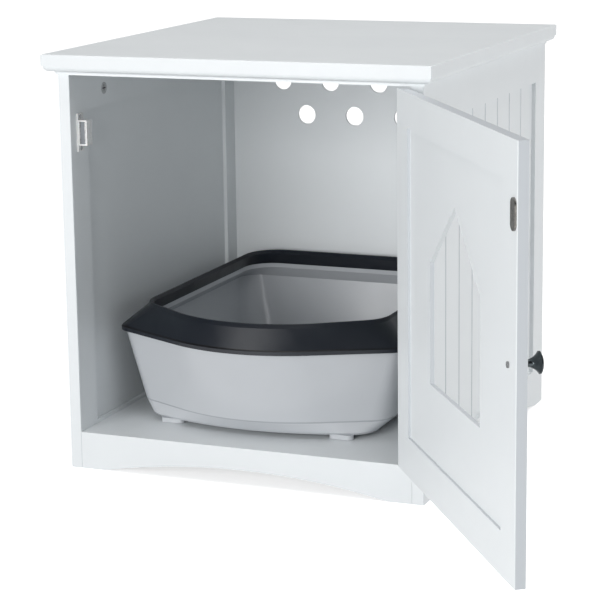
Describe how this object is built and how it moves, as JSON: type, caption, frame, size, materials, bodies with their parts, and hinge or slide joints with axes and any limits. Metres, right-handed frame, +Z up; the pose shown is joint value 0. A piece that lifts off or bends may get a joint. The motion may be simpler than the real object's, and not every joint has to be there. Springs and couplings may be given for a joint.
{
  "type": "cat litter box cabinet",
  "caption": "White cabinet with beadboard sides, an overhanging top and a hinged door with a house-shaped cat entrance, enclosing a removable rimmed litter tray.",
  "frame": {"origin": "on the floor at the middle of the rear edge, where the rear rail stands", "axes": "+Z up, +Y towards the back, +X to the right seen from the front"},
  "size_m": [0.7093, 0.8577, 0.512],
  "materials": {
    "white_paint": "satin white paint on fibreboard",
    "pan_plastic": "glossy moulded light grey",
    "rim_plastic": "satin moulded charcoal",
    "catch_plastic": "moulded white",
    "magnet_ferrite": "sintered ferrite",
    "zinc_steel": "zinc plated",
    "dark_steel": "dark plated",
    "gunmetal": "polished black nickel",
    "cam_zinc": "die-cast zinc with a pale coat",
    "beech": "fluted beech"
  },
  "bodies": {
    "cabinet": {"back_panel": "white_paint", "cam_bolts": "zinc_steel", "cam_locks": "cam_zinc", "catch_housing": "catch_plastic", "catch_magnet": "magnet_ferrite", "catch_pole_plates": "zinc_steel", "catch_screws": "zinc_steel", "cornice_front": "white_paint", "cornice_left": "white_paint", "cornice_right": "white_paint", "dowels": "beech", "floor_panel": "white_paint", "frame_hinge_screws": "zinc_steel", "front_apron": "white_paint", "hinge_pins": "zinc_steel", "left_beadboard": "white_paint", "left_bottom_rail": "white_paint", "left_front_stile": "white_paint", "left_rear_stile": "white_paint", "left_top_rail": "white_paint", "lower_hinge_frame_leaf": "zinc_steel", "rear_rail": "white_paint", "right_beadboard": "white_paint", "right_bottom_rail": "white_paint", "right_front_stile": "white_paint", "right_rear_stile": "white_paint", "right_top_rail": "white_paint", "top_board": "white_paint", "upper_hinge_frame_leaf": "zinc_steel"},
    "door": {"door_beadboard": "white_paint", "door_bottom_rail": "white_paint", "door_free_stile": "white_paint", "door_hinge_screws": "zinc_steel", "door_hinge_stile": "white_paint", "door_knob": "gunmetal", "door_top_rail": "white_paint", "knob_screw": "zinc_steel", "lower_hinge_door_leaf": "zinc_steel", "strike_plate": "dark_steel", "strike_screw": "dark_steel", "upper_hinge_door_leaf": "zinc_steel"},
    "tray": {"litter_pan": "pan_plastic"},
    "rim": {"pan_rim": "rim_plastic"}
  },
  "joints": [
    {"name": "door_hinge", "type": "hinge", "parent": "cabinet", "child": "door", "pos_m": [0.214, -0.4996, 0.267], "axis": [0, 0, 1], "range_deg": [-124.8, 45]},
    {"name": "tray_slide", "type": "slide", "parent": "cabinet", "child": "tray", "axis": [1, 0, 0], "range_m": [-0.0105, 0.038]},
    {"name": "rim_lift", "type": "slide", "parent": "tray", "child": "rim", "axis": [0, 0, 1], "range_m": [0, 0.12]}
  ]
}
